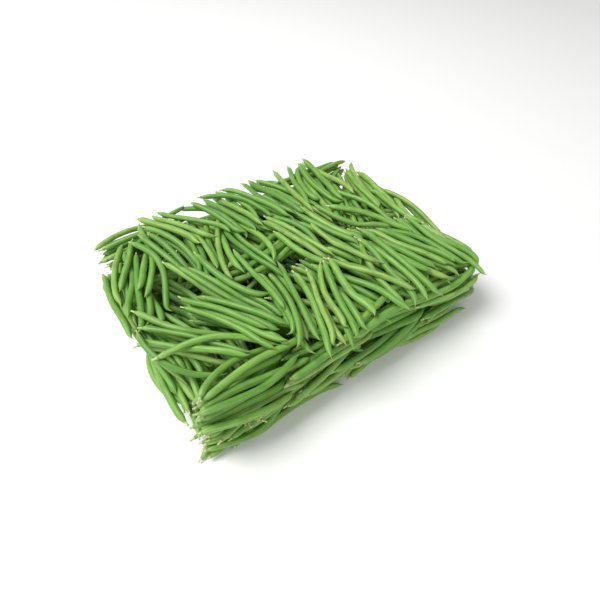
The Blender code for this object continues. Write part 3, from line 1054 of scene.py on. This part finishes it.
def spot_on_pod(n):
    """Where on its pod a point is, and a place along it that differs from pod to pod."""
    along, tone = n.stored("along"), n.stored("tone")
    far = n.math("MULTIPLY_ADD", tone, POD_SHIFT, n.math("MULTIPLY", along, ALONG_SCALE))
    return Spot(along, tone, n.stored("ripeness"), n.stored("round_x"), n.stored("round_y"), far)


def streaks_along(n, spot):
    """Fine streaks that run lengthwise: a noise that is squeezed around the pod."""
    x = n.math("MULTIPLY", spot.round_x, STREAK_SQUEEZE)
    y = n.math("MULTIPLY", spot.round_y, STREAK_SQUEEZE)
    return n.noise(n.vector(spot.far, x, y), scale=1.4, detail=3.0)


def body_colour(n, spot, streaks):
    """The green of a pod's body, with its patches, streaks and seams."""
    colour = n.mix(spot.tone, MID_GREEN, LIGHT_GREEN)
    colour = n.mix(n.between(spot.ripeness, 0.55, 1.0, to_high=0.7), colour, RIPE_GREEN)
    patchy = n.noise(n.vector(spot.far, spot.round_x, spot.round_y), scale=1.1, detail=3.0)
    colour = n.mix(n.between(patchy, 0.35, 0.75, to_high=0.55), colour, PATCH_GREEN)
    colour = n.mix(n.between(streaks, 0.45, 0.8, to_high=0.35), colour, STREAK_GREEN)
    seam = n.between(n.math("ABSOLUTE", spot.round_y), 0.0, 0.22, to_low=0.35, to_high=0.0)
    return n.mix(seam, colour, SEAM_GREEN)


print("values that steer the colour", Spot._fields)

# %% [markdown]
# ## The ends of a pod
#
# Along a pod the green pales towards the stalk, and its stump and beak dry to straw, on some
# pods more than on others. The collar is a darker ring. A few pods have small brown marks where
# they rubbed against others. All of that depends on how far along the pod a point is.

# %% The dry ends and the marks
COLLAR_PLACE = 0.05
MARK_SCALE = 2.2
MARK_SHIFT = 91.0


def end_colours(n, spot, colour):
    """The paler neck, the dry beak and stump, and the darker collar, over the body's colour."""
    colour = n.mix(n.between(spot.along, 0.14, 0.04, to_high=0.35), colour, NECK_GREEN)
    dryness = n.between(spot.ripeness, 0.2, 1.0, to_low=0.15, to_high=0.75)
    beak = n.math("MULTIPLY", n.between(spot.along, 0.945, 0.99), dryness)
    colour = n.mix(beak, colour, BEAK_STRAW)
    dryness = n.between(spot.tone, 0.0, 1.0, to_low=0.35, to_high=0.9)
    stump = n.math("MULTIPLY", n.between(spot.along, 0.046, 0.030), dryness)
    colour = n.mix(stump, colour, STALK_STRAW)
    from_collar = n.math("ABSOLUTE", n.math("SUBTRACT", spot.along, COLLAR_PLACE))
    return n.mix(n.between(from_collar, 0.012, 0.004, to_high=0.35), colour, COLLAR_GREEN)


def marked(n, spot, colour):
    """Small brown marks on the few pods that have them, over the other colours."""
    place = n.vector(n.math("MULTIPLY", spot.far, MARK_SCALE), spot.round_x, spot.round_y)
    marks = n.between(n.noise(place, scale=2.6, detail=1.0), 0.70, 0.78)
    own_place = n.vector(n.math("MULTIPLY", spot.tone, MARK_SHIFT), 0.5, 0.5)
    rare = n.between(n.noise(own_place, scale=1.0), 0.50, 0.62, to_high=0.6)
    return n.mix(n.math("MULTIPLY", marks, rare), colour, MARK_BROWN)


print("the collar lies at a share of", COLLAR_PLACE)

# %% [markdown]
# ## The finish of the skin
#
# The colours go into one shader with the satin of a fresh pod: half rough, and a little rougher
# on the streaks. Some light passes through the skin, and a faint down catches it at the edges.
# The streaks also raise the surface by a hair. Real bumps would need far more points, so a bump
# node only tilts the light there.

# %% The pod skin material
def pod_skin_material():
    """The satin green skin of fresh pods."""
    n = Nodes("fresh pod skin")
    spot = spot_on_pod(n)
    streaks = streaks_along(n, spot)
    colour = end_colours(n, spot, body_colour(n, spot, streaks))
    n.join(marked(n, spot, colour), n.shader.inputs["Base Color"])
    rough = n.between(streaks, 0.3, 0.8, to_low=0.38, to_high=0.52)
    n.join(rough, n.shader.inputs["Roughness"])
    n.shader.inputs["Specular IOR Level"].default_value = 0.42
    n.shader.inputs["Sheen Weight"].default_value = 0.05
    n.shader.inputs["Sheen Roughness"].default_value = 0.45
    n.shader.inputs["Subsurface Weight"].default_value = 0.15
    n.shader.inputs["Subsurface Radius"].default_value = (0.5, 1.0, 0.2)
    n.shader.inputs["Subsurface Scale"].default_value = 0.002
    bump = n.tree.nodes.new("ShaderNodeBump")
    bump.inputs["Strength"].default_value = 0.35
    bump.inputs["Distance"].default_value = 0.00025
    n.join(streaks, bump.inputs["Height"])
    n.join(bump.outputs["Normal"], n.shader.inputs["Normal"])
    return n.material


skin = pod_skin_material()
for name, piece in pieces.items():
    piece.data.materials.append(skin)
    half = "lower" if name.startswith("lower") else "upper"
    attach(piece, "root")
    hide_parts(half + "_beans")
print("nodes in the skin", len(skin.node_tree.nodes))

# %% [markdown]
# ## The floor
#
# The bundle lies on a plain pale floor, so that nothing draws the eye away from it. One large
# square is enough. It lies a hair below the pods, because two faces at the same height would
# show through each other in patches.

# %% A pale floor
FLOOR_SIZE = 6.0
FLOOR_DROP = 0.0002
reach = FLOOR_SIZE / 2
corners = [(-reach, -reach, 0), (reach, -reach, 0), (reach, reach, 0), (-reach, reach, 0)]
floor_mesh = bpy.data.meshes.new("floor")
floor_mesh.from_pydata(corners, [], [(0, 1, 2, 3)])
floor = bpy.data.objects.new("floor", floor_mesh)
floor.location.z = -FLOOR_DROP
bpy.context.scene.collection.objects.link(floor)
paper = Nodes("pale paper")
paper.shader.inputs["Base Color"].default_value = linear(238, 238, 236)
paper.shader.inputs["Roughness"].default_value = 0.85
floor.data.materials.append(paper.material)
print("floor", FLOOR_SIZE, "metres square")

# %% [markdown]
# ## Soft light
#
# A small lamp would draw hard shadows between the pods. Two large round ones give soft shadows
# instead, a strong one to the left of the camera and a weak one behind it. An even white world
# lights what they don't reach, so that the hollows stay green.

# %% Soft lights
LIGHTS_AIM = (0, 0, 0.04)
WORLD_STRENGTH = 0.45


def turned_towards(place, target):
    """The rotation that turns a lamp at one place towards another place."""
    return (Vector(target) - Vector(place)).to_track_quat("-Z", "Y").to_euler()


def soft_light(name, size, power, place):
    """A round lamp that shines on the bundle, with its width in metres and its power in watts."""
    light = bpy.data.lights.new(name, "AREA")
    light.shape = "DISK"
    light.size = size
    light.energy = power
    made = bpy.data.objects.new(name, light)
    made.location = place
    made.rotation_euler = turned_towards(place, LIGHTS_AIM)
    bpy.context.scene.collection.objects.link(made)


soft_light("key", size=1.6, power=68.0, place=(-1.1, 0.7, 2.2))
soft_light("fill", size=2.4, power=24.0, place=(-1.4, -2.2, 1.4))
world = bpy.data.worlds.new("studio")
world.use_nodes = True
world.node_tree.nodes["Background"].inputs["Color"].default_value = (1.0, 1.0, 1.0, 1.0)
world.node_tree.nodes["Background"].inputs["Strength"].default_value = WORLD_STRENGTH
bpy.context.scene.world = world
bpy.context.scene.view_settings.view_transform = "Standard"
print("lamps", [light.name for light in bpy.data.lights])

# %% [markdown]
# ## The camera
#
# The camera stands where the photograph was taken from. Its place and its angles were worked out
# from the straight edges in the photograph. It could be turned by hand until the two pictures
# look alike, but a camera that is worked out lets sizes be read from the photograph too.

# %% The camera
CAMERA_PLACE = (-0.187, -0.292, 0.375)
VIEW_HEADING = math.radians(55.5)
VIEW_DROP = math.radians(47.9)
LENS = 26.4
SENSOR_WIDTH = 36.0
camera_data = bpy.data.cameras.new("camera")
camera_data.lens = LENS
camera_data.sensor_width = SENSOR_WIDTH
camera = bpy.data.objects.new("camera", camera_data)
camera.location = CAMERA_PLACE
camera.rotation_euler = (math.pi / 2 - VIEW_DROP, 0.0, VIEW_HEADING - math.pi / 2)
bpy.context.scene.collection.objects.link(camera)
bpy.context.scene.camera = camera
print("camera at", CAMERA_PLACE, "with a lens of", LENS, "mm")

# %% [markdown]
# ## The box of the solids
#
# The dressed bundle has to fill the same box as its solids. The box of the solids is printed here.

# %% Print the box of the solids
def as_lists(box):
    """A box as plain lists of numbers."""
    return [[float(number) for number in corner] for corner in box]


print("solids", as_lists(cad_box))
